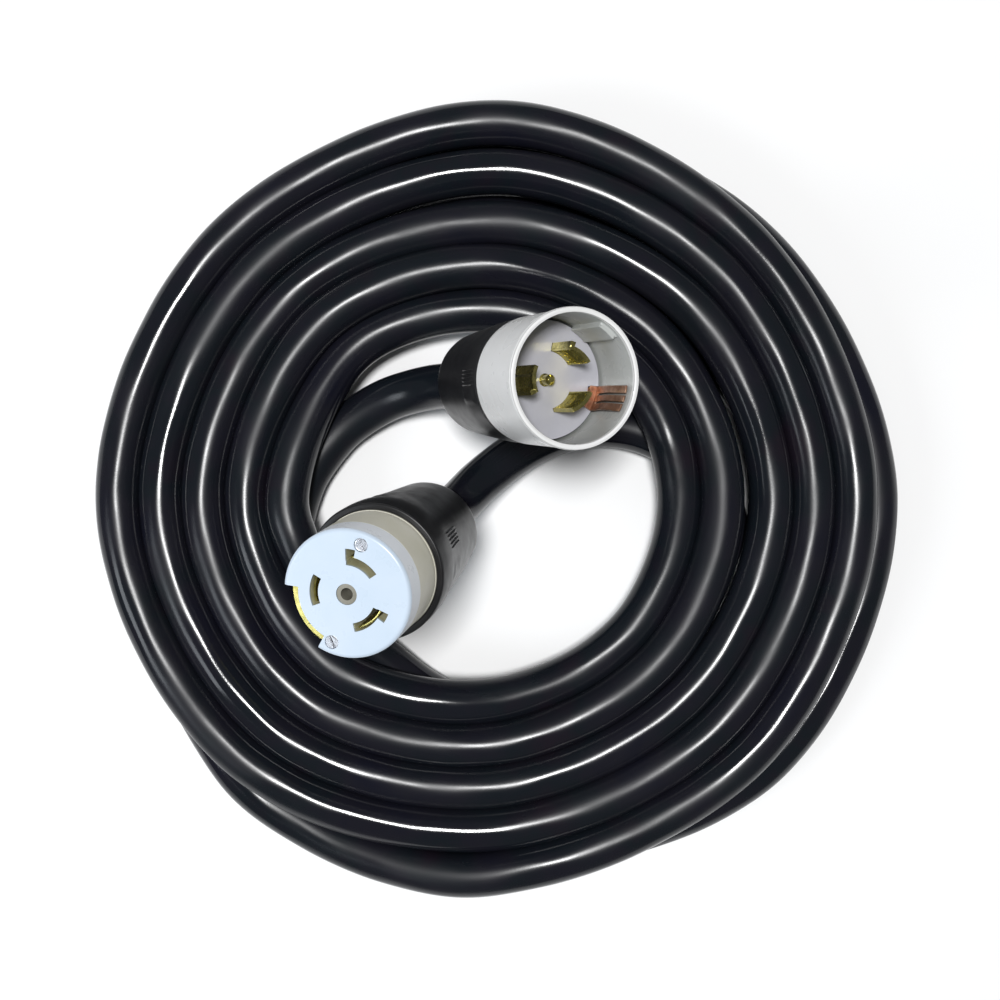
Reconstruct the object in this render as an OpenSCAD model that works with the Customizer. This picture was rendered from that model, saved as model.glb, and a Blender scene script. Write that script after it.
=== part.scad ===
// Coiled 50 ampere extension cord with a locking plug and a locking connector, millimetres.
// The coil lies on the floor about the origin, and both ends stand up inside it on their cord.

/* [Cord] */
// Outside diameter of the round jacket
cord_d = 22; // [21:0.5:22]

/* [Coil] */
// Radius of the hollow inside the coil
coil_inner_r = 82; // [80:1:84]
// Outer radius of the coil
coil_outer_r = 197; // [194:1:200]
// Layers of cord in the coil
coil_layers = 2; // [2:1:3]

/* [Covers] */
// Outer radius of both covers at their cord end
cover_end_r = 23; // [22.5:0.5:24]
// Wall of both covers at the cord end
cover_end_wall = 3.2; // [2.5:0.1:3.2]
// Length of the tapered rubber strain relief outside a cover
relief_len = 20; // [16:1:24]

/* [Plug] */
// Length from the end of the cover to the rim of the shroud
plug_len = 98; // [98:1:104]
// Length of the white shroud
shroud_len = 38.4; // [38:0.1:45]
// Outer radius of the shroud at its rim
shroud_rim_r = 28; // [27.6:0.1:28.6]
// Outer radius of the shroud at its back
shroud_back_r = 26.9; // [26.6:0.1:27.2]
// Inner radius of the shroud
shroud_bore_r = 25.6; // [25.6:0.1:25.8]
// Depth of the blade face below the rim
face_depth = 29; // [28:0.5:30]
// Height of the blades above their face
blade_h = 18; // [15:0.5:20]
// Radius of the centre pin
pin_r = 2.2; // [2:0.1:2.2]

/* [Connector] */
// Length from the end of the cover to the face
connector_len = 107; // [105:1:110]
// Radius of the nose and its cap
nose_r = 25.2; // [24.8:0.1:25.2]
// Length of nose and cap in front of the cover
nose_len = 32; // [30:1:34]
// Thickness of the white cap
cap_t = 12; // [10:0.5:14]
// Outer radius of the cover's front collar
collar_r = 28.3; // [27.5:0.1:29]
// Bore of the centre bushing, which takes the centre pin
hub_bore_r = 2.4; // [2.4:0.1:2.6]

/* [Hidden] */
$fn = 96;
gap = 0.1;              // clearance between fixed neighbours
cord_r = cord_d / 2;
coil_h = coil_layers * cord_d;
contact_r = 13;         // mean radius of blades and slots
blade_t = 1.6;
slot_w = 3.4;
hook_w = 13;            // degrees of a slot taken by the blade's hook
cap_edge_r = 1.6;       // rounding of the white cap's edge
screw_r = 1.6;
head_r = 2.6;
head_h = 1.8;
jacket_in = 22;         // jacket inside a cover, from the cover's end
wire_r = 2.9;
wire_start_r = 5;
hole_r = 12.4;          // cord hole in a cover
cavity_r = 20;          // room inside a cover at its cord end
clamp_z = 10;
clamp_h = 8;
clamp_r = 14;
clamp_screw_x = 16.2;

// Where each end stands: middle of the cover's cord end, tilt from upright, heading of the lean
plug_end = [-8, 53, 66];
plug_tilt = 23;
plug_heading = -10;
connector_end = [-32, -15, 75];
connector_tilt = 18;
connector_heading = 220;

// Heights in the plug, from the cover's end
cover_front_z = plug_len - shroud_len;
plug_face_z = plug_len - face_depth;
plug_base_z = 52;
plug_terminal_z = 44;
plug_screw_r = 18.2;    // radius of the two long screws
plug_screw_angles = [105, 285];
screw_recess = 2;       // depth of the long screws' heads in the cover's end
pin_root_r = pin_r + 0.4;
pin_h = 5;
blade_angles = [65, 191, -37];
blade_sweeps = [46, 48, 50];
blade_hooks = [2.6, 2.6, 0];
clip_angle = -8;
clip_sweep = 26;
clip_travel = 0.7;      // how far the clip springs outwards
clip_r = shroud_bore_r - clip_travel - 0.4;
key_angle = 62;

// Heights in the connector, from the cover's end
collar_z = connector_len - nose_len;
cap_z = connector_len - cap_t;
nose_back_z = 60;
connector_terminal_z = 52;
slot_angles = [201, 315, 88];
slot_sweeps = [54, 50, 56];
terminal_angles = [188, 308, 88];
face_screw_r = 20.2;
face_screw_angles = [-149, 30];
notch_angle = -13.5;
notch_sweep = 66;
notch_floor_r = 19.3;
band_r = 22.5;
hub_r = 4;

// Routes of the two free stretches, from the strain relief down to the floor and into the coil
plug_route = [[-16, 54.3, 47], [-24, 54.6, 37.6], [-33, 54.5, 29.5], [-43.5, 53, 22.5],
              [-54.5, 50, 17.5], [-65, 45, 14.5], [-75, 38.5, 12.3], [-81, 33.5, 11.5]];
connector_route = [[-27, -11, 56], [-23, -6, 46], [-17.5, 0, 37.3], [-11, 7, 29.8], [-3, 14, 23.6],
                   [5.5, 20.6, 18.9], [15, 26.6, 15.5], [25.5, 31.5, 13.2], [37, 35, 12],
                   [49, 36.5, 11.3], [61, 36, 11], [73, 33, 11], [84, 28, 11]];
tube_sides = 12;

// Points of an arc in a plane, from one angle to another
function arc(c, r, from, to, n = 8) =
  [for (i = [0:n]) c + r * [cos(from + (to - from) * i / n), sin(from + (to - from) * i / n)]];
function unit(v) = v / norm(v);
function lean(tilt, heading) = [sin(tilt) * cos(heading), sin(tilt) * sin(heading), cos(tilt)];
function polar(r, a) = [r * cos(a), r * sin(a)];

// Tube along a route: a ring of corners at each point, square to the way it runs there
function way(route, i) =
  unit(route[min(i + 1, len(route) - 1)] - route[max(i - 1, 0)]);
function side(route, i) = unit(cross([0, 0, 1], way(route, i)));
function corner(route, i, a) =
  route[i] + cord_r * (cos(a) * cross(way(route, i), side(route, i)) + sin(a) * side(route, i));

module tube(route) {
  n = tube_sides;
  rings = len(route);
  points = [for (i = [0:rings - 1], k = [0:n - 1]) corner(route, i, 360 * k / n)];
  walls = [for (i = [0:rings - 2], k = [0:n - 1])
    [i * n + k, i * n + (k + 1) % n, (i + 1) * n + (k + 1) % n, (i + 1) * n + k]];
  cut_walls = [for (w = walls) each [[w[2], w[1], w[0]], [w[3], w[2], w[0]]]];
  polyhedron(points, concat(cut_walls,
    [[for (k = [0:n - 1]) k]],
    [[for (k = [n - 1:-1:0]) (rings - 1) * n + k]]));
}

module at_plug() {
  translate(plug_end) rotate([0, plug_tilt, plug_heading]) children();
}

module at_connector() {
  translate(connector_end) rotate([0, connector_tilt, connector_heading]) children();
}

// Part of a ring between two heights
module sector(r_in, r_out, z_low, z_high, middle, sweep) {
  rotate([0, 0, middle - sweep / 2])
    rotate_extrude(angle = sweep)
      translate([r_in, z_low])
        square([r_out - r_in, z_high - z_low]);
}

module rod(from, to, r) {
  run = to - from;
  translate(from)
    rotate([0, acos(run[2] / norm(run)), atan2(run[1], run[0])])
      cylinder(r = r, h = norm(run));
}

// ---- pieces that both ends have ----

// Outline of a cover's inside and outside at the cord end, closed by the caller's front points
function cover_outside() =
  concat([[hole_r, 0]], arc([cover_end_r - 4, 4], 4, -90, -8));
function cover_inside() = [[cavity_r, 8], [cavity_r, cover_end_wall], [hole_r, cover_end_wall]];

module grommet() {
  color([0.05, 0.05, 0.06])
    rotate_extrude()
      polygon([[cord_r, -relief_len], [cord_r + 1.2, -relief_len], [cord_r + 3, -gap],
        [hole_r - gap, -gap], [hole_r - gap, cover_end_wall + gap], [15.5, cover_end_wall + gap],
        [15.5, 8], [cord_r, 8]]);
}

module cord_clamp() {
  color([0.62, 0.63, 0.65])
    translate([0, 0, clamp_z])
      difference() {
        union() {
          cylinder(r = clamp_r, h = clamp_h);
          translate([-19, -4.5, 0]) cube([38, 9, clamp_h]);
        }
        translate([0, 0, -1]) cylinder(r = cord_r, h = clamp_h + 2);
        translate([-20, -0.5, -1]) cube([40, 1, clamp_h + 2]);
        for (x = [-clamp_screw_x, clamp_screw_x])
          translate([x, -5, clamp_h / 2]) rotate([-90, 0, 0]) cylinder(r = 1.5 + gap, h = 10);
      }
}

module slotted_head() {
  difference() {
    cylinder(r = head_r, h = head_h);
    translate([-head_r - 1, -0.35, head_h - 0.8]) cube([2 * head_r + 2, 0.7, 1]);
  }
}

module clamp_screws() {
  color([0.75, 0.76, 0.78])
    for (x = [-clamp_screw_x, clamp_screw_x])
      translate([x, 4.5, clamp_z + clamp_h / 2])
        rotate([-90, 0, 0]) {
          translate([0, 0, -9]) cylinder(r = 1.5, h = 9);
          slotted_head();
        }
}

module wire(from_angle, to_angle, to_r, to_z) {
  rod(concat(polar(wire_start_r, from_angle), jacket_in + 1.8),
    concat(polar(to_r, to_angle), to_z - 1.4), wire_r);
}

// Block with its hole for a wire, and the screw that holds the wire
module terminal_block(r_in, r_out, z, angle) {
  rotate([0, 0, angle])
    difference() {
      translate([r_in, -4, z]) cube([r_out - r_in, 8, 8]);
      translate([r_out - 3, 0, z + 4]) rotate([0, 90, 0]) cylinder(r = screw_r, h = 4);
    }
}

module terminal_screw(r, z, angle) {
  rotate([0, 0, angle])
    translate([r, 0, z + 4])
      rotate([0, 90, 0]) {
        translate([0, 0, -2.8]) cylinder(r = screw_r - gap, h = 2.8);
        cylinder(r = 2.2, h = 1.6);
      }
}

// ---- cord ----

module cord_coil() {
  color([0.06, 0.06, 0.07])
    rotate_extrude()
      polygon(concat(
        arc([coil_inner_r + cord_r, cord_r], cord_r, 270, 180),
        arc([coil_inner_r + cord_r, coil_h - cord_r], cord_r, 180, 90),
        arc([coil_outer_r - cord_r, coil_h - cord_r], cord_r, 90, 0),
        arc([coil_outer_r - cord_r, cord_r], cord_r, 0, -90)));
}

module cord_plug_tail() {
  up = lean(plug_tilt, plug_heading);
  color([0.06, 0.06, 0.07])
    tube(concat([plug_end + jacket_in * up, plug_end, plug_end - 8 * up], plug_route));
}

module cord_connector_tail() {
  up = lean(connector_tilt, connector_heading);
  color([0.06, 0.06, 0.07])
    tube(concat([connector_end + jacket_in * up, connector_end, connector_end - 8 * up],
      connector_route));
}

// ---- plug ----

module plug_cover() {
  front = cover_front_z - gap;
  color([0.07, 0.07, 0.08])
    at_plug()
      difference() {
        rotate_extrude()
          polygon(concat(cover_outside(),
            [[26, 40], [26.3, 41], [26.3, front], [23.2, front], [23.2, 40]], cover_inside()));
        for (a = plug_screw_angles)
          rotate([0, 0, a])
            translate([plug_screw_r, 0, -1]) {
              cylinder(r = head_r + gap, h = screw_recess + 1);
              cylinder(r = screw_r + gap, h = 6);
            }
      }
}

module plug_grommet() {
  at_plug() grommet();
}

module plug_cord_clamp() {
  at_plug() cord_clamp();
}

module plug_clamp_screws() {
  at_plug() clamp_screws();
}

module plug_assembly_screws() {
  color([0.75, 0.76, 0.78])
    at_plug()
      for (a = plug_screw_angles)
        rotate([0, 0, a])
          translate([plug_screw_r, 0, screw_recess]) {
            cylinder(r = screw_r, h = plug_base_z + 6 - screw_recess);
            mirror([0, 0, 1]) slotted_head();
          }
}

module plug_shroud() {
  color([0.94, 0.94, 0.92])
    at_plug() {
      rotate_extrude()
        polygon([[22.8, cover_front_z], [shroud_back_r, cover_front_z],
          [shroud_rim_r - 0.5, plug_len - 3], [shroud_rim_r, plug_len - 2.5],
          [shroud_rim_r, plug_len - 0.5], [shroud_rim_r - 0.5, plug_len],
          [shroud_bore_r + 0.5, plug_len], [shroud_bore_r, plug_len - 0.6],
          [shroud_bore_r, cover_front_z + 3], [22.8, cover_front_z + 3]]);
      sector(23.5, shroud_bore_r + 0.2, plug_face_z + 0.3, plug_len - 3, key_angle, 20);
    }
}

// Arc blade from its terminal to its tip, grown all round where it is a cut for a blade
module blade(k, grow) {
  half = blade_t / 2 + grow;
  grow_angle = 4.4 * grow;
  sector(contact_r - half, contact_r + half, plug_terminal_z, plug_face_z + blade_h,
    blade_angles[k], blade_sweeps[k] + 2 * grow_angle);
  if (blade_hooks[k] > 0)
    sector(contact_r, contact_r + blade_hooks[k] + grow, plug_terminal_z + 10,
      plug_face_z + blade_h, blade_angles[k] + blade_sweeps[k] / 2 - 3.2, 7.6 + 2 * grow_angle);
}

module blade_cuts() {
  for (k = [0:2]) blade(k, gap);
}

module plug_base() {
  color([0.16, 0.16, 0.17])
    at_plug()
      difference() {
        translate([0, 0, plug_base_z])
          cylinder(r = 22.6, h = plug_face_z - 3 - gap - plug_base_z);
        blade_cuts();
        translate([0, 0, plug_base_z + 8]) cylinder(r = pin_root_r + gap, h = 10);
        for (a = plug_screw_angles)
          rotate([0, 0, a])
            translate([plug_screw_r, 0, plug_base_z - 1]) cylinder(r = screw_r + gap, h = 10);
        sector(18.4 - gap, 21.6 + gap, plug_base_z - 1, plug_face_z, clip_angle, clip_sweep + 2);
      }
}

module plug_face() {
  color([0.78, 0.79, 0.8])
    at_plug()
      difference() {
        translate([0, 0, plug_face_z - 3]) cylinder(r = 24.6, h = 3);
        blade_cuts();
        translate([0, 0, plug_face_z - 4]) cylinder(r = pin_root_r + gap, h = 6);
        sector(20 - gap, 21.6 + gap, plug_face_z - 4, plug_face_z + 1, clip_angle, clip_sweep - 2);
      }
}

module plug_blade(k) {
  color([0.78, 0.66, 0.32])
    at_plug() {
      blade(k, 0);
      terminal_block(contact_r - 4, contact_r + 4, plug_terminal_z, blade_angles[k]);
    }
}

module plug_blade_x() {
  plug_blade(0);
}

module plug_blade_y() {
  plug_blade(1);
}

module plug_blade_neutral() {
  plug_blade(2);
}

module plug_centre_pin() {
  color([0.7, 0.6, 0.32])
    at_plug()
      {
        translate([0, 0, plug_base_z + 8 + gap])
          cylinder(r = pin_root_r, h = plug_face_z - plug_base_z - 8 - gap);
        translate([0, 0, plug_face_z]) cylinder(r = pin_r, h = pin_h);
        translate([0, 0, plug_face_z + pin_h]) cylinder(r1 = pin_r, r2 = 1.2, h = 1);
      }
}

// Leaf spring that presses on the mating ground band: a foot and three fingers
module plug_ground_clip() {
  z = plug_face_z;
  color([0.78, 0.42, 0.26])
    at_plug()
      difference() {
        rotate([0, 0, clip_angle - clip_sweep / 2])
          rotate_extrude(angle = clip_sweep)
            polygon([[20.4, z + 0.4], [clip_r - 0.3, z + 0.4], [clip_r - 0.2, z + 4],
              [clip_r - 1.4, z + 12], [clip_r - 0.8, z + 19], [clip_r, z + 24], [clip_r, z + 26],
              [clip_r - 0.8, z + 26], [clip_r - 0.8, z + 24.3], [clip_r - 1.6, z + 19],
              [clip_r - 2.2, z + 12], [clip_r - 1.1, z + 4], [clip_r - 1.2, z + 1.2],
              [20.4, z + 1.2]]);
        for (a = [-clip_sweep / 6, clip_sweep / 6])
          rotate([0, 0, clip_angle + a])
            translate([20, -0.45, z + 3]) cube([6, 0.9, 30]);
      }
}

module plug_ground_terminal() {
  color([0.78, 0.42, 0.26])
    at_plug() {
      sector(20, 21.6, plug_terminal_z + 4, plug_face_z - gap, clip_angle, clip_sweep - 4);
      terminal_block(17.5, 21, plug_terminal_z - 2, clip_angle);
    }
}

module plug_terminal_screws() {
  color([0.75, 0.76, 0.78])
    at_plug()
      for (a = blade_angles) terminal_screw(contact_r + 4, plug_terminal_z, a);
}

module plug_wire_black() {
  color([0.08, 0.08, 0.08]) at_plug() wire(70, blade_angles[0], contact_r - 1, plug_terminal_z);
}

module plug_wire_red() {
  color([0.7, 0.1, 0.08]) at_plug() wire(160, blade_angles[1], contact_r - 1, plug_terminal_z);
}

module plug_wire_white() {
  color([0.9, 0.9, 0.88]) at_plug() wire(250, blade_angles[2], contact_r - 1, plug_terminal_z);
}

module plug_wire_green() {
  color([0.1, 0.5, 0.2]) at_plug() wire(340, clip_angle, 18, plug_terminal_z - 2);
}

// ---- connector ----

module connector_cover() {
  front = collar_z - gap;
  color([0.07, 0.07, 0.08])
    at_connector() {
      rotate_extrude()
        polygon(concat(cover_outside(),
          [[26.6, 56], [collar_r - 0.4, 59], [collar_r, 59.6], [collar_r, front - 0.6],
          [collar_r - 0.6, front], [25.6, front], [25.6, 60], [24.2, 56]], cover_inside()));
      for (a = face_screw_angles)
        rotate([0, 0, a])
          difference() {
            translate([face_screw_r - 3.6, -3.6, 24]) cube([5.4, 7.2, 26]);
            translate([face_screw_r, 0, 20]) cylinder(r = screw_r, h = 40);
          }
    }
}

module connector_grommet() {
  at_connector() grommet();
}

module connector_cord_clamp() {
  at_connector() cord_clamp();
}

module connector_clamp_screws() {
  at_connector() clamp_screws();
}

module connector_assembly_screws() {
  color([0.75, 0.76, 0.78])
    at_connector()
      for (a = face_screw_angles)
        rotate([0, 0, a])
          translate([face_screw_r, 0, 36]) {
            cylinder(r = screw_r - gap, h = connector_len - 36 - 2);
            translate([0, 0, connector_len - 36 - 2.2]) rotate([0, 0, 40]) slotted_head();
          }
}

module face_screw_holes() {
  for (a = face_screw_angles)
    rotate([0, 0, a])
      translate([face_screw_r, 0, nose_back_z - 1]) {
        cylinder(r = screw_r + gap, h = 60);
        translate([0, 0, connector_len - nose_back_z - 1.4]) cylinder(r = head_r + gap, h = 5);
      }
}

// Slots for the three blades of the mating plug, two of them with a hook
module contact_slots() {
  for (k = [0:2])
    sector(contact_r - slot_w / 2, contact_r + slot_w / 2, nose_back_z - 1, connector_len + 1,
      slot_angles[k], slot_sweeps[k]);
  for (k = [0, 2])
    sector(contact_r, contact_r + 4.6, nose_back_z + 16, connector_len + 1,
      slot_angles[k] + slot_sweeps[k] / 2 - hook_w / 2 + 0.7, hook_w);
}

module connector_nose() {
  front = cap_z - gap;
  color([0.82, 0.8, 0.72])
    at_connector()
      difference() {
        union() {
          translate([0, 0, nose_back_z]) cylinder(r = 25.4, h = collar_z - nose_back_z);
          translate([0, 0, collar_z]) cylinder(r = nose_r, h = front - collar_z);
        }
        contact_slots();
        face_screw_holes();
        sector(band_r - 2.1, 30, collar_z + gap, connector_len, notch_angle, notch_sweep);
        sector(band_r - 2.2, band_r - 0.9, nose_back_z - 1, collar_z + 1, -14, 16);
        translate([0, 0, cap_z - 3]) cylinder(r = hub_r + gap, h = 5);
      }
}

module connector_face() {
  color([0.95, 0.96, 0.97])
    at_connector()
      difference() {
        rotate_extrude()
          polygon(concat([[0, cap_z], [nose_r, cap_z]],
            arc([nose_r - cap_edge_r, connector_len - cap_edge_r], cap_edge_r, 0, 90),
            [[0, connector_len]]));
        contact_slots();
        face_screw_holes();
        sector(notch_floor_r, 30, cap_z - 1, connector_len + 1, notch_angle, notch_sweep);
        translate([0, 0, cap_z - 1]) cylinder(r = hub_r + gap, h = cap_t + 2);
      }
}

module connector_hub() {
  color([0.72, 0.74, 0.74])
    at_connector()
      difference() {
        translate([0, 0, cap_z - 2.8]) cylinder(r = hub_r, h = cap_t + 2.4);
        translate([0, 0, cap_z - 2]) cylinder(r = hub_bore_r, h = cap_t + 6);
      }
}

module connector_contact(k) {
  color([0.78, 0.66, 0.32])
    at_connector() {
      sector(contact_r + 0.5, contact_r + 1.2, connector_terminal_z, connector_len - 3,
        slot_angles[k], slot_sweeps[k] - 6);
      terminal_block(contact_r - 4, contact_r + 4, connector_terminal_z - gap, terminal_angles[k]);
    }
}

module connector_contact_x() {
  connector_contact(0);
}

module connector_contact_y() {
  connector_contact(1);
}

module connector_contact_neutral() {
  connector_contact(2);
}

// Brass band in the nose's recess, with its strap down to the ground terminal
module connector_ground_band() {
  color([0.8, 0.68, 0.34])
    at_connector() {
      sector(band_r - 2, band_r, collar_z + 2 * gap, connector_len - 3, notch_angle,
        notch_sweep - 1);
      sector(band_r - 2, band_r - 1, connector_terminal_z + 4, collar_z + 1, -14, 14);
      terminal_block(17, 21, connector_terminal_z - 2, -14);
    }
}

module connector_terminal_screws() {
  color([0.75, 0.76, 0.78])
    at_connector()
      for (a = terminal_angles) terminal_screw(contact_r + 4, connector_terminal_z - gap, a);
}

module connector_wire_black() {
  color([0.08, 0.08, 0.08])
    at_connector() wire(160, terminal_angles[0], contact_r - 1, connector_terminal_z);
}

module connector_wire_red() {
  color([0.7, 0.1, 0.08])
    at_connector() wire(250, terminal_angles[1], contact_r - 1, connector_terminal_z);
}

module connector_wire_white() {
  color([0.9, 0.9, 0.88])
    at_connector() wire(70, terminal_angles[2], contact_r - 1, connector_terminal_z);
}

module connector_wire_green() {
  color([0.1, 0.5, 0.2])
    at_connector() wire(340, -14, 17, connector_terminal_z - 2);
}

cord_coil();
cord_plug_tail();
cord_connector_tail();
plug_cover();
plug_grommet();
plug_cord_clamp();
plug_clamp_screws();
plug_assembly_screws();
plug_shroud();
plug_base();
plug_face();
plug_blade_x();
plug_blade_y();
plug_blade_neutral();
plug_centre_pin();
plug_ground_clip();
plug_ground_terminal();
plug_terminal_screws();
plug_wire_black();
plug_wire_red();
plug_wire_white();
plug_wire_green();
connector_cover();
connector_grommet();
connector_cord_clamp();
connector_clamp_screws();
connector_assembly_screws();
connector_nose();
connector_face();
connector_hub();
connector_contact_x();
connector_contact_y();
connector_contact_neutral();
connector_ground_band();
connector_terminal_screws();
connector_wire_black();
connector_wire_red();
connector_wire_white();
connector_wire_green();
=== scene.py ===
import math

import bmesh
import bpy
import numpy as np
from mathutils import Matrix, Vector


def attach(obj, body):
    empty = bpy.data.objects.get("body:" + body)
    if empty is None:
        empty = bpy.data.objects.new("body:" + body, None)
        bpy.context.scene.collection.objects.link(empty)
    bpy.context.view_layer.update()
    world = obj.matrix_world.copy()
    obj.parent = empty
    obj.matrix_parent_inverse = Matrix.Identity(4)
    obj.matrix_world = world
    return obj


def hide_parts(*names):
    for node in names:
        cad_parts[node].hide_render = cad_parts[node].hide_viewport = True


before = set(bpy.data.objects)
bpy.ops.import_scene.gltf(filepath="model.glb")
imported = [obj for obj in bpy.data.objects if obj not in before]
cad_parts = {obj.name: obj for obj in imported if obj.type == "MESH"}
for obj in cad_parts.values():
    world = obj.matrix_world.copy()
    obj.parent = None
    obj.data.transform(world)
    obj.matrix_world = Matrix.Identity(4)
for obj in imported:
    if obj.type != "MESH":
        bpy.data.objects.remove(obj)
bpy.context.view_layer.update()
MM = 0.001

# ---------------------------------------------------------------- camera, straight above the coil
CAMERA_HEIGHT = 0.640
CAMERA_LENS = 44.7

camera_data = bpy.data.cameras.new("camera")
camera_data.lens = CAMERA_LENS
camera_data.sensor_width = 36
camera = bpy.data.objects.new("camera", camera_data)
camera.location = (0, -0.001, CAMERA_HEIGHT)
bpy.context.scene.collection.objects.link(camera)
bpy.context.scene.camera = camera

# ---------------------------------------------------------------- where the two ends stand
def placed(end, tilt, heading):
    """Turns millimetres in a device's own frame into metres in the row's frame."""
    turn = Matrix.Rotation(math.radians(heading), 4, "Z") @ Matrix.Rotation(math.radians(tilt), 4, "Y")
    return Matrix.Translation(Vector(end) * MM) @ turn @ Matrix.Scale(MM, 4)


AT_PLUG = placed((-8, 53, 66), 23, -10)
AT_CONNECTOR = placed((-32, -15, 75), 18, 220)

# ---------------------------------------------------------------- cord
CORD_D = 22.0
TOUCH = 20.8            # soft jackets press into each other where turns touch, so centres come this near
STEP = 7.0              # between the points of the line that settles
FINE_STEP = 3.5         # between the points of the finished line
JACKET_IN = 22          # jacket inside a cover, from the cover's end
STRAIGHT_OUT = 10       # straight run behind a cover's end
PLUG_ROUTE = [(-16, 54.3, 47), (-24, 54.6, 37.6), (-33, 54.5, 29.5), (-43.5, 53, 22.5),
              (-54.5, 50, 17.5), (-65, 45, 14.5), (-75, 38.5, 12.3), (-81, 33.5, 11.5)]
CONNECTOR_ROUTE = [(-27, -11, 56), (-23, -6, 46), (-17.5, 0, 37.3), (-11, 7, 29.8), (-3, 14, 23.6),
                   (5.5, 20.6, 18.9), (15, 26.6, 15.5), (25.5, 31.5, 13.2), (37, 35, 12),
                   (49, 36.5, 11.3), (61, 36, 11), (73, 33, 11), (84, 28, 11)]

# The turns run clockwise from above. Radii of the top turns, from inside to outside, every 45 degrees
# clockwise from the left
TOP_TURNS = [
    [106.5, 104.5, 93.5, 90, 89.5, 92.5, 101, 118.5],
    [127, 124.5, 114.5, 110, 108, 111, 119.5, 138],
    [145, 142, 135, 132.5, 135.5, 133.5, 141, 158],
    [165.5, 162.5, 160, 154, 154, 154.5, 161.5, 176.5],
    [185, 182, 183.5, 174.5, 173, 175, 182.5],
]
# Lower layer, from outside to inside, every 45 degrees clockwise from the lower left
LOWER_TURNS = [
    [191, 185, 183, 182, 183, 190, 190, 176],
    [167, 161, 158, 155, 157, 165, 165, 156],
    [146.5, 138, 131, 124, 129, 143.5, 144, 134],
]
LOW = CORD_D / 2
HIGH = LOW + CORD_D


def around(r, clockwise, z):
    a = math.radians(clockwise)
    return (r * math.cos(a), -r * math.sin(a), z)


def winding():
    """The cord's line from the connector to the plug, before it settles."""
    up = (AT_CONNECTOR.to_3x3() @ Vector((0, 0, 1))).normalized()
    end = AT_CONNECTOR.translation / MM
    line = [end + up * JACKET_IN, end + up * JACKET_IN / 2, end, end - up * STRAIGHT_OUT]
    line += CONNECTOR_ROUTE
    # under the first turns, round the right and the bottom, and up on the lower left
    for clockwise, r, z in [(-10, 101, LOW), (3, 113, LOW), (18, 121, LOW), (34, 121.5, LOW), (52, 119, LOW),
                            (70, 114.5, LOW), (90, 110, LOW), (108, 105.5, LOW + 1), (124, 101, LOW + 4),
                            (140, 101, LOW + 11), (155, 103, LOW + 18), (168, 105, HIGH)]:
        line.append(around(r, clockwise, z))
    for turn in TOP_TURNS:
        for k, r in enumerate(turn):
            line.append(around(r, 180 + 45 * k, HIGH))
    line += [around(188, 106, HIGH - 8), around(191, 120, LOW + 6)]
    for turn in LOWER_TURNS:
        for k, r in enumerate(turn):
            line.append(around(r, 135 + 45 * k, LOW))
    line += [around(124.5, 137, LOW), around(114, 157, LOW), around(105.5, 173.5, LOW), around(102, 180, LOW),
             around(98.3, 186.5, LOW), around(93.8, 193, LOW)]
    up = (AT_PLUG.to_3x3() @ Vector((0, 0, 1))).normalized()
    end = AT_PLUG.translation / MM
    line += list(reversed(PLUG_ROUTE))
    line += [end - up * STRAIGHT_OUT, end, end + up * JACKET_IN / 2, end + up * JACKET_IN]
    return np.array([tuple(p) for p in line], float)


SPLINE_STEPS = 24


def smooth_line(points, step):
    """A smooth line through points (centripetal Catmull-Rom), at even steps."""
    p = np.vstack([2 * points[0] - points[1], points, 2 * points[-1] - points[-2]])
    out = []
    for i in range(1, len(p) - 2):
        a, b, c, d = p[i - 1], p[i], p[i + 1], p[i + 2]
        t1 = np.linalg.norm(b - a) ** 0.5
        t2 = t1 + np.linalg.norm(c - b) ** 0.5
        t3 = t2 + np.linalg.norm(d - c) ** 0.5
        t = np.linspace(t1, t2, SPLINE_STEPS, endpoint=False)[:, None]
        ab = a + (b - a) * t / t1
        bc = b + (c - b) * (t - t1) / (t2 - t1)
        cd = c + (d - c) * (t - t2) / (t3 - t2)
        abc = ab + (bc - ab) * t / t2
        bcd = bc + (cd - bc) * (t - t1) / (t3 - t1)
        out.append(abc + (bcd - abc) * (t - t1) / (t2 - t1))
    out.append(points[-1:])
    return evenly(np.vstack(out), step)


def evenly(line, step):
    """The same line with its points at even steps."""
    run = np.r_[0, np.cumsum(np.linalg.norm(np.diff(line, axis=0), axis=1))]
    count = int(round(run[-1] / step))
    at = np.linspace(0, run[-1], count + 1)
    return np.stack([np.interp(at, run, line[:, k]) for k in range(3)], 1)


ROUNDS = 160            # steps in which the line settles
FIXED_START = 34        # points that don't move at the connector's end
FIXED_END = 24          # and at the plug's end
EASE = 10               # points over which they become free
APART = 6               # points along the line that are too near each other to touch
LOOK_EVERY = 10         # rounds between searches for touching points
LOOK_PAST = 9           # how far past touching a search looks
PULL_BACK = 0.05        # share of the way back to its first place
SINK = 0.12             # fall in one round, until SINK_UNTIL of them
SINK_UNTIL = 0.8
SMOOTH_UNTIL = 0.9      # two passes of smoothing before this share of the rounds, one after it
PUSHES = 3
PUSH_SHARE = 1.2


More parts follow.
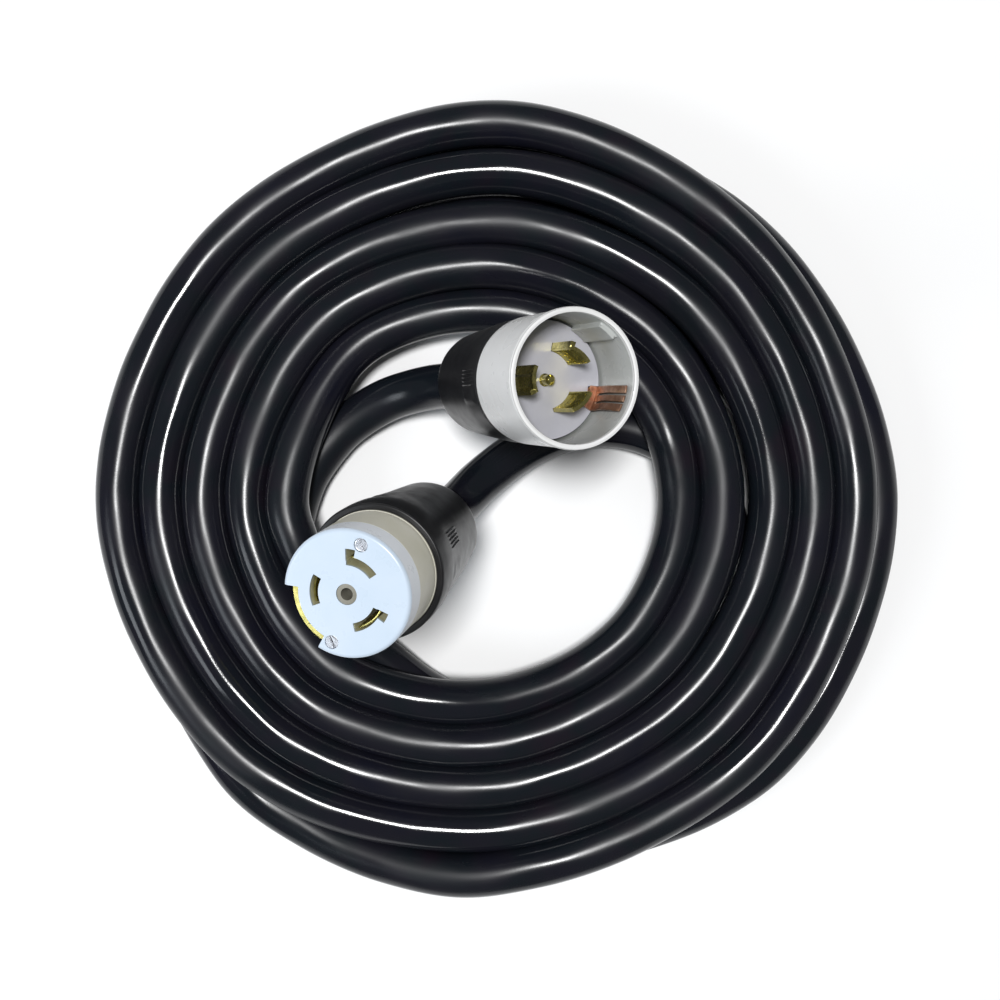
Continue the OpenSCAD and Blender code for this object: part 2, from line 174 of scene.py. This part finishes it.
def settle(line):
    """Lets the turns rest on the floor and on each other."""
    aim = line.copy()
    n = len(line)
    free = np.ones(n)
    free[:FIXED_START] = 0
    free[n - FIXED_END:] = 0
    free[FIXED_START:FIXED_START + EASE] = np.linspace(0, 1, EASE)
    free[n - FIXED_END - EASE:n - FIXED_END] = np.linspace(1, 0, EASE)
    free = free[:, None]
    for step in range(ROUNDS):
        if step % LOOK_EVERY == 0:
            gap = np.linalg.norm(line[:, None].astype(np.float32) - line[None].astype(np.float32), axis=2)
            near = np.argwhere(np.triu(gap < CORD_D + LOOK_PAST, APART))
        move = PULL_BACK * (aim - line)
        move[:, 2] = -SINK * (step < ROUNDS * SINK_UNTIL)
        line = line + move * free
        for _ in range(PUSHES):
            a, b = near[:, 0], near[:, 1]
            d = line[b] - line[a]
            size = np.linalg.norm(d, axis=1)
            short = np.clip(TOUCH - size, 0, None)
            hit = short > 0
            if hit.any():
                push = d[hit] / size[hit, None] * (0.5 * short[hit])[:, None]
                total = np.zeros_like(line)
                times = np.zeros(n)
                np.add.at(total, a[hit], -push)
                np.add.at(total, b[hit], push)
                np.add.at(times, a[hit], 1)
                np.add.at(times, b[hit], 1)
                line = line + total / np.maximum(times, 1)[:, None] * free * PUSH_SHARE
            line[:, 2] = np.maximum(line[:, 2], LOW)
        off = line - aim
        passes = 2 if step < ROUNDS * SMOOTH_UNTIL else 1
        for _ in range(passes):
            mean = off.copy()
            mean[2:-2] = (off[:-4] + off[1:-3] + off[2:-2] + off[3:-1] + off[4:]) / 5
            off = off + 0.5 * (mean - off)
        line = aim + off * free + (line - aim) * (1 - free)
        line[:, 2] = np.maximum(line[:, 2], LOW)
    return line


cord_line = settle(smooth_line(winding(), STEP))


# ---------------------------------------------------------------- mesh helpers
def add_piece(name, mesh, body="cord_set"):
    piece = bpy.data.objects.new(name, mesh)
    bpy.context.scene.collection.objects.link(piece)
    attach(piece, body)
    return piece


def tube_mesh(name, line, radius_at, sides):
    """A closed tube along a line in metres, with a UV map in metres: round the tube, and along it."""
    count = len(line)
    way = np.gradient(line, axis=0)
    way /= np.linalg.norm(way, axis=1)[:, None]
    side = np.cross(way[0], (0, 0, 1.0))
    side /= np.linalg.norm(side)
    sides_at = []
    for k in range(count):
        side = side - way[k] * (side @ way[k])
        side /= np.linalg.norm(side)
        sides_at.append(side.copy())
    sides_at = np.array(sides_at)
    ups = np.cross(way, sides_at)
    run = np.r_[0, np.cumsum(np.linalg.norm(np.diff(line, axis=0), axis=1))]
    angle = np.linspace(0, 2 * math.pi, sides, endpoint=False)
    radius = radius_at(run[:, None], angle[None])
    spots = (line[:, None] + radius[..., None] * (np.cos(angle)[None, :, None] * sides_at[:, None]
                                                  + np.sin(angle)[None, :, None] * ups[:, None]))
    verts = [tuple(v) for v in spots.reshape(-1, 3)]
    faces = []
    uvs = []
    for i in range(count - 1):
        for k in range(sides):
            j = (k + 1) % sides
            faces.append((i * sides + k, i * sides + j, (i + 1) * sides + j, (i + 1) * sides + k))
            here, there = k / sides, (k + 1) / sides
            uvs += [(here, run[i]), (there, run[i]), (there, run[i + 1]), (here, run[i + 1])]
    faces.append(tuple(reversed(range(sides))))
    faces.append(tuple((count - 1) * sides + k for k in range(sides)))
    uvs += [(0, 0)] * (2 * sides)
    mesh = bpy.data.meshes.new(name)
    mesh.from_pydata(verts, [], faces)
    layer = mesh.uv_layers.new(name="jacket")
    layer.data.foreach_set("uv", np.array(uvs, np.float32).ravel())
    mesh.polygons.foreach_set("use_smooth", [True] * (len(faces) - 2) + [False] * 2)
    mesh.update()
    mesh.validate()
    bm = bmesh.new()
    bm.from_mesh(mesh)
    bmesh.ops.recalc_face_normals(bm, faces=bm.faces)
    bm.to_mesh(mesh)
    bm.free()
    return mesh


FILLET_PARTS = 4


def rounded(profile, fillets):
    """Rounds the corners of an outline of (r, z) points; fillets holds a radius for each point."""
    out = []
    count = len(profile)
    for i, (p, f) in enumerate(zip(profile, fillets)):
        p = Vector(p)
        a = Vector(profile[i - 1])
        b = Vector(profile[(i + 1) % count])
        if f <= 0:
            out.append(tuple(p))
            continue
        to_a = (a - p)
        to_b = (b - p)
        cut = min(f, 0.45 * to_a.length, 0.45 * to_b.length)
        start = p + to_a.normalized() * cut
        stop = p + to_b.normalized() * cut
        for k in range(FILLET_PARTS + 1):
            t = k / FILLET_PARTS
            out.append(tuple(start * (1 - t) ** 2 + p * 2 * t * (1 - t) + stop * t ** 2))
    return out


OUTLINE_STEP = 1.5


def turned_mesh(name, outline, place, angles, shape):
    """A closed outline of (r, z) points turned about z; shape(r, z, angle) gives the radius there."""
    ring = []
    for i, p in enumerate(outline):
        q = outline[(i + 1) % len(outline)]
        parts = max(1, math.ceil(math.hypot(q[0] - p[0], q[1] - p[1]) / OUTLINE_STEP))
        ring += [(p[0] + (q[0] - p[0]) * k / parts, p[1] + (q[1] - p[1]) * k / parts) for k in range(parts)]
    count = len(ring)
    verts = []
    for a in angles:
        turn = math.radians(a)
        for r, z in ring:
            rr = shape(r, z, a)
            verts.append(place @ Vector((rr * math.cos(turn), rr * math.sin(turn), z)))
    faces = []
    for k in range(len(angles)):
        n = (k + 1) % len(angles)
        for i in range(count):
            j = (i + 1) % count
            faces.append((k * count + i, n * count + i, n * count + j, k * count + j))
    mesh = bpy.data.meshes.new(name)
    mesh.from_pydata(verts, [], faces)
    bm = bmesh.new()
    bm.from_mesh(mesh)
    bmesh.ops.recalc_face_normals(bm, faces=bm.faces)
    bm.to_mesh(mesh)
    bm.free()
    return mesh


SHARP_ANGLE = 40        # degrees between faces from which an edge is shaded sharp


def smooth_by_angle(piece):
    """Sharp edges stay sharp, and the rest is shaded smooth."""
    bm = bmesh.new()
    bm.from_mesh(piece.data)
    for edge in bm.edges:
        edge.smooth = len(edge.link_faces) == 2 and edge.calc_face_angle(0) < math.radians(SHARP_ANGLE)
    for face in bm.faces:
        face.smooth = True
    bm.to_mesh(piece.data)
    bm.free()


# ---------------------------------------------------------------- materials
def new_material(name, colour, roughness, metallic=0.0):
    material = bpy.data.materials.new(name)
    material.use_nodes = True
    shader = material.node_tree.nodes["Principled BSDF"]
    shader.inputs["Base Color"].default_value = (*colour, 1)
    shader.inputs["Roughness"].default_value = roughness
    shader.inputs["Metallic"].default_value = metallic
    return material, material.node_tree, shader


def noise(tree, scale, detail=3.0, stretch=(1, 1, 1), coordinates="Object"):
    where = tree.nodes.new("ShaderNodeTexCoord")
    mapping = tree.nodes.new("ShaderNodeMapping")
    mapping.inputs["Scale"].default_value = stretch
    texture = tree.nodes.new("ShaderNodeTexNoise")
    texture.inputs["Scale"].default_value = scale
    texture.inputs["Detail"].default_value = detail
    tree.links.new(where.outputs[coordinates], mapping.inputs["Vector"])
    tree.links.new(mapping.outputs["Vector"], texture.inputs["Vector"])
    return texture.outputs["Fac"]


def spread(tree, value, low, high, start=0.3, stop=0.7):
    """Maps a noise value to a range."""
    node = tree.nodes.new("ShaderNodeMapRange")
    node.inputs["From Min"].default_value = start
    node.inputs["From Max"].default_value = stop
    node.inputs["To Min"].default_value = low
    node.inputs["To Max"].default_value = high
    tree.links.new(value, node.inputs["Value"])
    return node.outputs["Result"]


def blend_colours(tree, value, colours, start=0.35, stop=0.65):
    """Colours spread evenly over a noise value's range."""
    ramp = tree.nodes.new("ShaderNodeValToRGB")
    stops = ramp.color_ramp.elements
    while len(stops) < len(colours):
        stops.new(0.5)
    for k, colour in enumerate(colours):
        stops[k].position = start + (stop - start) * k / (len(colours) - 1)
        stops[k].color = (*colour, 1)
    tree.links.new(value, ramp.inputs["Fac"])
    return ramp.outputs["Color"]


def bump(tree, shader, value, strength, distance):
    node = tree.nodes.new("ShaderNodeBump")
    node.inputs["Strength"].default_value = strength
    node.inputs["Distance"].default_value = distance
    tree.links.new(value, node.inputs["Height"])
    previous = shader.inputs["Normal"].links
    if previous:
        tree.links.new(previous[0].from_socket, node.inputs["Normal"])
    tree.links.new(node.outputs["Normal"], shader.inputs["Normal"])


def set_from(tree, shader, socket, value):
    tree.links.new(value, shader.inputs[socket])


def plastic(name, colours, roughness, grain=0.15, fine=900, specular=0.5):
    """Moulded plastic or rubber: slow changes of colour and gloss, and a fine grain."""
    material, tree, shader = new_material(name, colours[0], roughness)
    shader.inputs["Specular IOR Level"].default_value = specular
    gloss = spread(tree, noise(tree, 160, 3), roughness * 0.88, roughness * 1.14)
    set_from(tree, shader, "Base Color", blend_colours(tree, noise(tree, 45, 4), colours))
    set_from(tree, shader, "Roughness", gloss)
    bump(tree, shader, noise(tree, fine, 2), grain, 0.00015)
    return material


def metal(name, colours, roughness):
    """Bare metal with faint tarnish."""
    material, tree, shader = new_material(name, colours[0], roughness, 1.0)
    gloss = spread(tree, noise(tree, 500, 4), roughness * 0.7, roughness * 1.5)
    set_from(tree, shader, "Base Color", blend_colours(tree, noise(tree, 220, 5), colours))
    set_from(tree, shader, "Roughness", gloss)
    bump(tree, shader, noise(tree, 700, 3), 0.12, 0.0001)
    return material


def jacket_material():
    """Glossy black rubber: dull and bright stretches, a faint waviness along it, fine scuffs."""
    colours = [(0.0062, 0.0066, 0.0125), (0.0085, 0.0084, 0.0130), (0.0060, 0.0084, 0.0115),
               (0.0098, 0.0074, 0.0120)]
    material, tree, shader = new_material("jacket", colours[0], 0.24)
    gloss = spread(tree, noise(tree, 1, 6, (3, 9, 1), "UV"), 0.11, 0.42, 0.40, 0.64)
    set_from(tree, shader, "Base Color", blend_colours(tree, noise(tree, 24, 4), colours, 0.3, 0.7))
    set_from(tree, shader, "Roughness", gloss)
    shader.inputs["Specular IOR Level"].default_value = 0.30
    bump(tree, shader, noise(tree, 1, 3, (6, 14, 1), "UV"), 0.17, 0.0010)
    bump(tree, shader, noise(tree, 1, 2, (70, 900, 1), "UV"), 0.10, 0.00012)
    return material


def math_node(tree, operation, a, b):
    """A Math node on two sockets or numbers."""
    node = tree.nodes.new("ShaderNodeMath")
    node.operation = operation
    for slot, value in enumerate((a, b)):
        if isinstance(value, (int, float)):
            node.inputs[slot].default_value = value
        else:
            tree.links.new(value, node.inputs[slot])
    return node.outputs["Value"]


def device_place(tree, place):
    """Distance from a device's axis and height along it in millimetres, for a colour that depends on them."""
    where = tree.nodes.new("ShaderNodeTexCoord")
    outputs = []
    for row in place.inverted()[:3]:
        dot = tree.nodes.new("ShaderNodeVectorMath")
        dot.operation = "DOT_PRODUCT"
        tree.links.new(where.outputs["Object"], dot.inputs[0])
        dot.inputs[1].default_value = row[:3]
        add = tree.nodes.new("ShaderNodeMath")
        add.operation = "ADD"
        tree.links.new(dot.outputs["Value"], add.inputs[0])
        add.inputs[1].default_value = row[3]
        outputs.append(add.outputs["Value"])
    x, y, z = outputs
    square = math_node(tree, "ADD", math_node(tree, "MULTIPLY", x, x), math_node(tree, "MULTIPLY", y, y))
    return math_node(tree, "SQRT", square, 0), z


def mixed(tree, share, one, other):
    """One colour where share is 0, and the other where it is 1."""
    mix = tree.nodes.new("ShaderNodeMix")
    mix.data_type = "RGBA"
    tree.links.new(share, mix.inputs["Factor"])
    tree.links.new(one, mix.inputs["A"])
    tree.links.new(other, mix.inputs["B"])
    return mix.outputs["Result"]


CAP_TOP = 107.0          # height of the cap's face, from the cord end of the connector
SLOTS_R = 18.4          # the slots are inside this radius
CAP_SIDE_R = 22         # the cap's side, which gets painted light, is outside this one


def cap_material():
    """White cap: its slots show tan walls below the face, and its side has painted light, a lighter white
    than the face.
    """
    face_whites = [(0.52, 0.62, 0.73), (0.56, 0.65, 0.76)]
    side_whites_painted_light = [(0.87, 0.91, 0.96), (0.90, 0.93, 0.97)]
    tans = [(0.46, 0.44, 0.27), (0.62, 0.60, 0.42)]
    material, tree, shader = new_material("cap_white", face_whites[0], 0.3)
    r, z = device_place(tree, AT_CONNECTOR)
    patches = noise(tree, 45, 4)
    below = math_node(tree, "MULTIPLY", math_node(tree, "LESS_THAN", r, SLOTS_R),
                      spread(tree, z, 1, 0, CAP_TOP - 1.6, CAP_TOP - 0.3))
    # painted light: the cap's side gets a lighter white than its face, standing in for light falling on it
    side = math_node(tree, "MULTIPLY", math_node(tree, "GREATER_THAN", r, CAP_SIDE_R),
                     spread(tree, z, 1, 0, CAP_TOP - 2.2, CAP_TOP - 0.9))
    whites = mixed(tree, side, blend_colours(tree, patches, face_whites),
                   blend_colours(tree, patches, side_whites_painted_light))
    walls = blend_colours(tree, noise(tree, 300, 4), tans)
    set_from(tree, shader, "Base Color", mixed(tree, below, whites, walls))
    set_from(tree, shader, "Roughness", spread(tree, noise(tree, 160, 3), 0.26, 0.36))
    bump(tree, shader, noise(tree, 900, 2), 0.06, 0.00015)
    return material


SHROUD_BORE = (25.75, 26.1)     # radii between which the painted shade of the shroud's bore fades into its outside colour
SHROUD_RIM = (96.4, 97.6)       # and heights


def shroud_material():
    """Off-white shroud, with painted shade in its bore: greyer inside than on its rim and its outside."""
    outside = [(0.76, 0.76, 0.75), (0.80, 0.80, 0.80)]
    bore_greys_painted_shade = [(0.40, 0.42, 0.40), (0.46, 0.47, 0.46)]
    material, tree, shader = new_material("shroud_white", outside[0], 0.26)
    r, z = device_place(tree, AT_PLUG)
    patches = noise(tree, 45, 4)
    # painted shade: the bore is coloured grey inside the shroud, where shade falls
    painted_shade_in_bore = math_node(tree, "MULTIPLY", spread(tree, r, 1, 0, *SHROUD_BORE),
                       spread(tree, z, 1, 0, *SHROUD_RIM))
    colour = mixed(tree, painted_shade_in_bore, blend_colours(tree, patches, outside), blend_colours(tree, patches, bore_greys_painted_shade))
    set_from(tree, shader, "Base Color", colour)
    set_from(tree, shader, "Roughness", spread(tree, noise(tree, 60, 3), 0.24, 0.32))
    bump(tree, shader, noise(tree, 700, 2), 0.02, 0.00015)
    return material


JACKET = jacket_material()
COVER = plastic("cover_black", [(0.008, 0.008, 0.009), (0.012, 0.012, 0.013)], 0.33, 0.14, 1500, 0.3)
RELIEF = plastic("relief_rubber", [(0.009, 0.009, 0.010), (0.014, 0.014, 0.015)], 0.45, 0.3, 1100)
SHROUD = shroud_material()
FACE = plastic("face_grey", [(0.38, 0.38, 0.42), (0.44, 0.44, 0.48)], 0.22)
BASE = plastic("base_dark", [(0.03, 0.03, 0.033), (0.045, 0.045, 0.05)], 0.5)
CAP = cap_material()
NOSE = plastic("nose_beige", [(0.68, 0.66, 0.54), (0.75, 0.73, 0.64)], 0.36, 0.04)
HUB = plastic("hub_grey", [(0.17, 0.16, 0.12), (0.30, 0.29, 0.25)], 0.45, 0.9, 420)
BRASS = metal("brass", [(0.36, 0.32, 0.09), (0.58, 0.51, 0.18), (0.46, 0.42, 0.14)], 0.22)
COPPER = metal("copper", [(0.36, 0.20, 0.13), (0.26, 0.14, 0.09), (0.43, 0.27, 0.19)], 0.40)
STEEL = metal("steel", [(0.62, 0.63, 0.66), (0.45, 0.46, 0.49)], 0.25)
CLAMP = metal("clamp_steel", [(0.45, 0.46, 0.48), (0.36, 0.37, 0.39)], 0.4)
WIRES = {
    "black": plastic("insulation_black", [(0.012, 0.012, 0.012), (0.02, 0.02, 0.02)], 0.35),
    "red": plastic("insulation_red", [(0.45, 0.02, 0.015), (0.52, 0.03, 0.02)], 0.35),
    "white": plastic("insulation_white", [(0.75, 0.75, 0.72), (0.8, 0.8, 0.78)], 0.35),
    "green": plastic("insulation_green", [(0.02, 0.25, 0.06), (0.03, 0.3, 0.08)], 0.35),
}


# The first word that a node's name holds decides
BY_WORD = {"cord_clamp": CLAMP, "grommet": RELIEF, "shroud": SHROUD, "plug_face": FACE, "plug_base": BASE,
           "connector_face": CAP, "nose": NOSE, "hub": HUB, "ground_clip": COPPER,
           "ground_terminal": COPPER, "cover": COVER, "cord": JACKET}


def material_for(node):
    if "wire_" in node:
        return WIRES[node.split("_")[-1]]
    if node.endswith("_screws"):
        return STEEL
    for word, material in BY_WORD.items():
        if word in node:
            return material
    return BRASS


# ---------------------------------------------------------------- CAD nodes: materials and softened edges
EDGE = {"plug_shroud": 0.0005, "connector_face": 0.0003, "plug_ground_clip": 0.00012}
OTHER_EDGES = 0.0002
SAME_POINT = 0.000002
EDGE_ANGLE = 38
for node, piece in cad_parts.items():
    piece.data.materials.clear()
    piece.data.materials.append(material_for(node))
    weld = piece.modifiers.new("weld", "WELD")
    weld.merge_threshold = SAME_POINT
    soft = piece.modifiers.new("soft_edges", "BEVEL")
    soft.width = EDGE.get(node, OTHER_EDGES)
    soft.segments = 2
    soft.limit_method = "ANGLE"
    soft.angle_limit = math.radians(EDGE_ANGLE)
    even = piece.modifiers.new("even_shading", "WEIGHTED_NORMAL")
    even.keep_sharp = False

# ---------------------------------------------------------------- cord piece
LAY_LENGTH = 0.16       # metres in which the conductors twist once
CORES = 4
RIPPLE = 0.00005
CORD_SIDES = 28


def jacket_radius(run, angle):
    """Round, with a faint ripple where the twisted conductors show through the jacket."""
    return CORD_D / 2 * MM - RIPPLE + RIPPLE * np.cos(CORES * (angle - 2 * math.pi * run / LAY_LENGTH))


fine_line = smooth_line(cord_line, FINE_STEP)
cord = add_piece("cord", tube_mesh("cord", fine_line * MM, jacket_radius, CORD_SIDES))
cord.data.materials.append(JACKET)
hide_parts("cord_coil", "cord_plug_tail", "cord_connector_tail")

# ---------------------------------------------------------------- covers
RIB_STEP = 3.3          # degrees between the grip's ribs
RIB_HIGH = 0.65
RIBS = 5
PANEL_HIGH = 0.35
PANEL_HALF = (5, 9)     # degrees from a panel's middle between which it fades out
PAD_R = 20.9            # distance of a screw pad's flat from the axis at the cover's end
PAD_SLOPE = 0.17
PAD_DEEP = 1.6
PAD_HALF = 40           # degrees
PAD_LONG = 22
OUTSIDE_R = 22.5        # everything nearer to the axis is the cover's inside
FINE_ANGLE = 0.55       # degrees between a cover's sections at the ribs
COARSE_ANGLE = 2.5      # and elsewhere
SCREW_ANGLES = (105, 285)


def fade(value, start, stop):
    """0 before start, 1 after stop, and smooth between them."""
    t = min(1.0, max(0.0, (value - start) / (stop - start)))
    return t * t * (3 - 2 * t)


def off_by(angle, middle):
    """Degrees from middle to angle, the short way."""
    return (angle - middle + 180) % 360 - 180


def cover_shape(ribs_at, ribs_from, ribs_to, panels_at):
    """Ribs, low smooth panels and screw pads on the outside of a cover."""
    def shape(r, z, angle):
        if r < OUTSIDE_R:
            return r
        out = r
        for middle in SCREW_ANGLES:
            off = abs(off_by(angle, middle))
            if off < PAD_HALF and z < PAD_LONG:
                flat = (PAD_R + PAD_SLOPE * z) / math.cos(math.radians(off))
                out = min(out, max(flat, r - PAD_DEEP))
        for middle in panels_at:
            side = 1 - fade(abs(off_by(angle, middle)), *PANEL_HALF)
            out += PANEL_HIGH * side * fade(z, ribs_from, ribs_from + 2) * (1 - fade(z, ribs_to - 2, ribs_to))
        for middle in ribs_at:
            off = off_by(angle, middle)
            if abs(off) < RIB_STEP * RIBS / 2:
                wave = max(0.0, math.cos(2 * math.pi * off / RIB_STEP))
                ends = fade(z, ribs_from, ribs_from + 1.5) * (1 - fade(z, ribs_to - 1.5, ribs_to))
                out += RIB_HIGH * wave * ends
        return out
    return shape


def cover_angles(ribs_at):
    """Angles of a cover's sections, closer together at the ribs."""
    coarse = [k * COARSE_ANGLE for k in range(int(360 / COARSE_ANGLE))]
    fine = []
    for middle in ribs_at:
        reach = RIB_STEP * RIBS / 2 + 1
        fine += [(middle - reach + FINE_ANGLE * k) % 360 for k in range(int(2 * reach / FINE_ANGLE) + 1)]
        coarse = [a for a in coarse if abs(off_by(a, middle)) > reach + 0.6]
    return sorted(coarse + fine)


def cover_piece(node, place, outline, ribs_at, ribs_from, ribs_to, panels_at):
    name = node + "_shell"
    shape = cover_shape(ribs_at, ribs_from, ribs_to, panels_at)
    piece = add_piece(name, turned_mesh(name, outline, place, cover_angles(ribs_at), shape))
    smooth_by_angle(piece)
    piece.data.materials.append(COVER)
    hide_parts(node)
    return piece


def cut_away(piece, cutters):
    """Takes closed meshes out of a piece."""
    for mesh in cutters:
        tool = bpy.data.objects.new("cutter", mesh)
        bpy.context.scene.collection.objects.link(tool)
        cut = piece.modifiers.new("cut", "BOOLEAN")
        cut.operation = "DIFFERENCE"
        cut.solver = "EXACT"
        cut.object = tool
        now = bpy.context.evaluated_depsgraph_get()
        result = bpy.data.meshes.new_from_object(piece.evaluated_get(now))
        piece.modifiers.clear()
        piece.data = result
        bpy.data.objects.remove(tool)


SCREW_R = 18.2          # distance of the long screws from the axis
SCREW_RECESS = 2.0
SCREW_HEAD_HOLE = 2.7
SCREW_HOLE = 1.7
HOLE_SIDES = 40
CUT_FROM = -1           # a cutter starts outside the cover's end wall
CUT_TO = 5              # and ends inside it


def recess_mesh(place, angle):
    """A screw's way through a cover's end: a wide part for its head and a narrow part for its shank."""
    steps = [(SCREW_HEAD_HOLE, CUT_FROM), (SCREW_HEAD_HOLE, SCREW_RECESS), (SCREW_HOLE, SCREW_RECESS),
             (SCREW_HOLE, CUT_TO)]
    turn = math.radians(angle)
    middle = Vector((SCREW_R * math.cos(turn), SCREW_R * math.sin(turn), 0))
    verts = []
    for radius, z in steps:
        for k in range(HOLE_SIDES):
            a = 2 * math.pi * k / HOLE_SIDES
            verts.append(place @ (middle + Vector((radius * math.cos(a), radius * math.sin(a), z))))
    faces = [tuple(reversed(range(HOLE_SIDES))), tuple(range(len(verts) - HOLE_SIDES, len(verts)))]
    for i in range(0, len(verts) - HOLE_SIDES, HOLE_SIDES):
        for k in range(HOLE_SIDES):
            n = (k + 1) % HOLE_SIDES
            faces.append((i + k, i + n, i + HOLE_SIDES + n, i + HOLE_SIDES + k))
    mesh = bpy.data.meshes.new("recess")
    mesh.from_pydata(verts, [], faces)
    return mesh


PLUG_FRONT = 59.5
plug_outline = rounded(
    [(12.4, 0), (23, 0), (25.9, 38), (26.3, 44), (26.3, 56.6), (25.9, 57.0), (25.9, 57.5), (26.7, 58.0),
     (26.7, PLUG_FRONT), (23.2, PLUG_FRONT), (23.2, 40), (20, 34), (20, 3.2), (12.4, 3.2)],
    [0.5, 4.6, 4, 3, 0.3, 0, 0, 0.3, 0.4, 0, 0, 0, 0, 0])
plug_shell = cover_piece("plug_cover", AT_PLUG, plug_outline, [188, 8], 41, 54, [204, 24])
cut_away(plug_shell, [recess_mesh(AT_PLUG, angle) for angle in SCREW_ANGLES])
smooth_by_angle(plug_shell)
connector_outline = rounded(
    [(12.4, 0), (23, 0), (25.2, 30), (26.5, 48), (28.0, 60), (28.3, 66), (28.3, 74.9), (25.6, 74.9),
     (25.6, 60), (24.2, 56), (23.0, 44), (20, 36), (20, 3.2), (12.4, 3.2)],
    [0.5, 5.0, 6, 8, 5, 3, 0.9, 0.4, 0, 0, 0, 0, 0, 0])
cover_piece("connector_cover", AT_CONNECTOR, connector_outline, [160, 340], 40, 56, [132, 237])

# ---------------------------------------------------------------- floor and lights
FLOOR_HALF = 3.0
floor_mesh = bpy.data.meshes.new("floor")
corners = [(-1, -1), (1, -1), (1, 1), (-1, 1)]
floor_mesh.from_pydata([(x * FLOOR_HALF, y * FLOOR_HALF, 0) for x, y in corners], [], [(0, 1, 2, 3)])
floor = bpy.data.objects.new("floor", floor_mesh)
bpy.context.scene.collection.objects.link(floor)
floor.data.materials.append(new_material("floor", (0.93, 0.93, 0.93), 0.7)[0])

world = bpy.data.worlds.new("world")
bpy.context.scene.world = world
world.use_nodes = True
sky = world.node_tree.nodes["Background"]
sky.inputs["Color"].default_value = (0.96, 0.98, 1, 1)
sky.inputs["Strength"].default_value = 0.15


def area_light(name, spot, size, power, colour=(1, 1, 1)):
    """A rectangular light that points at the middle of the floor."""
    light = bpy.data.lights.new(name, "AREA")
    light.shape = "RECTANGLE"
    light.size = size[0]
    light.size_y = size[1]
    light.energy = power
    light.color = colour
    thing = bpy.data.objects.new(name, light)
    thing.location = spot
    thing.rotation_euler = (-Vector(spot)).to_track_quat("-Z", "Y").to_euler()
    bpy.context.scene.collection.objects.link(thing)


area_light("key", (-0.12, 0.14, 2.6), (0.40, 0.40), 60)
area_light("left", (-1.6, -0.7, 1.3), (0.9, 0.7), 12, (0.88, 0.94, 1.0))
bpy.context.scene.view_settings.view_transform = "Standard"
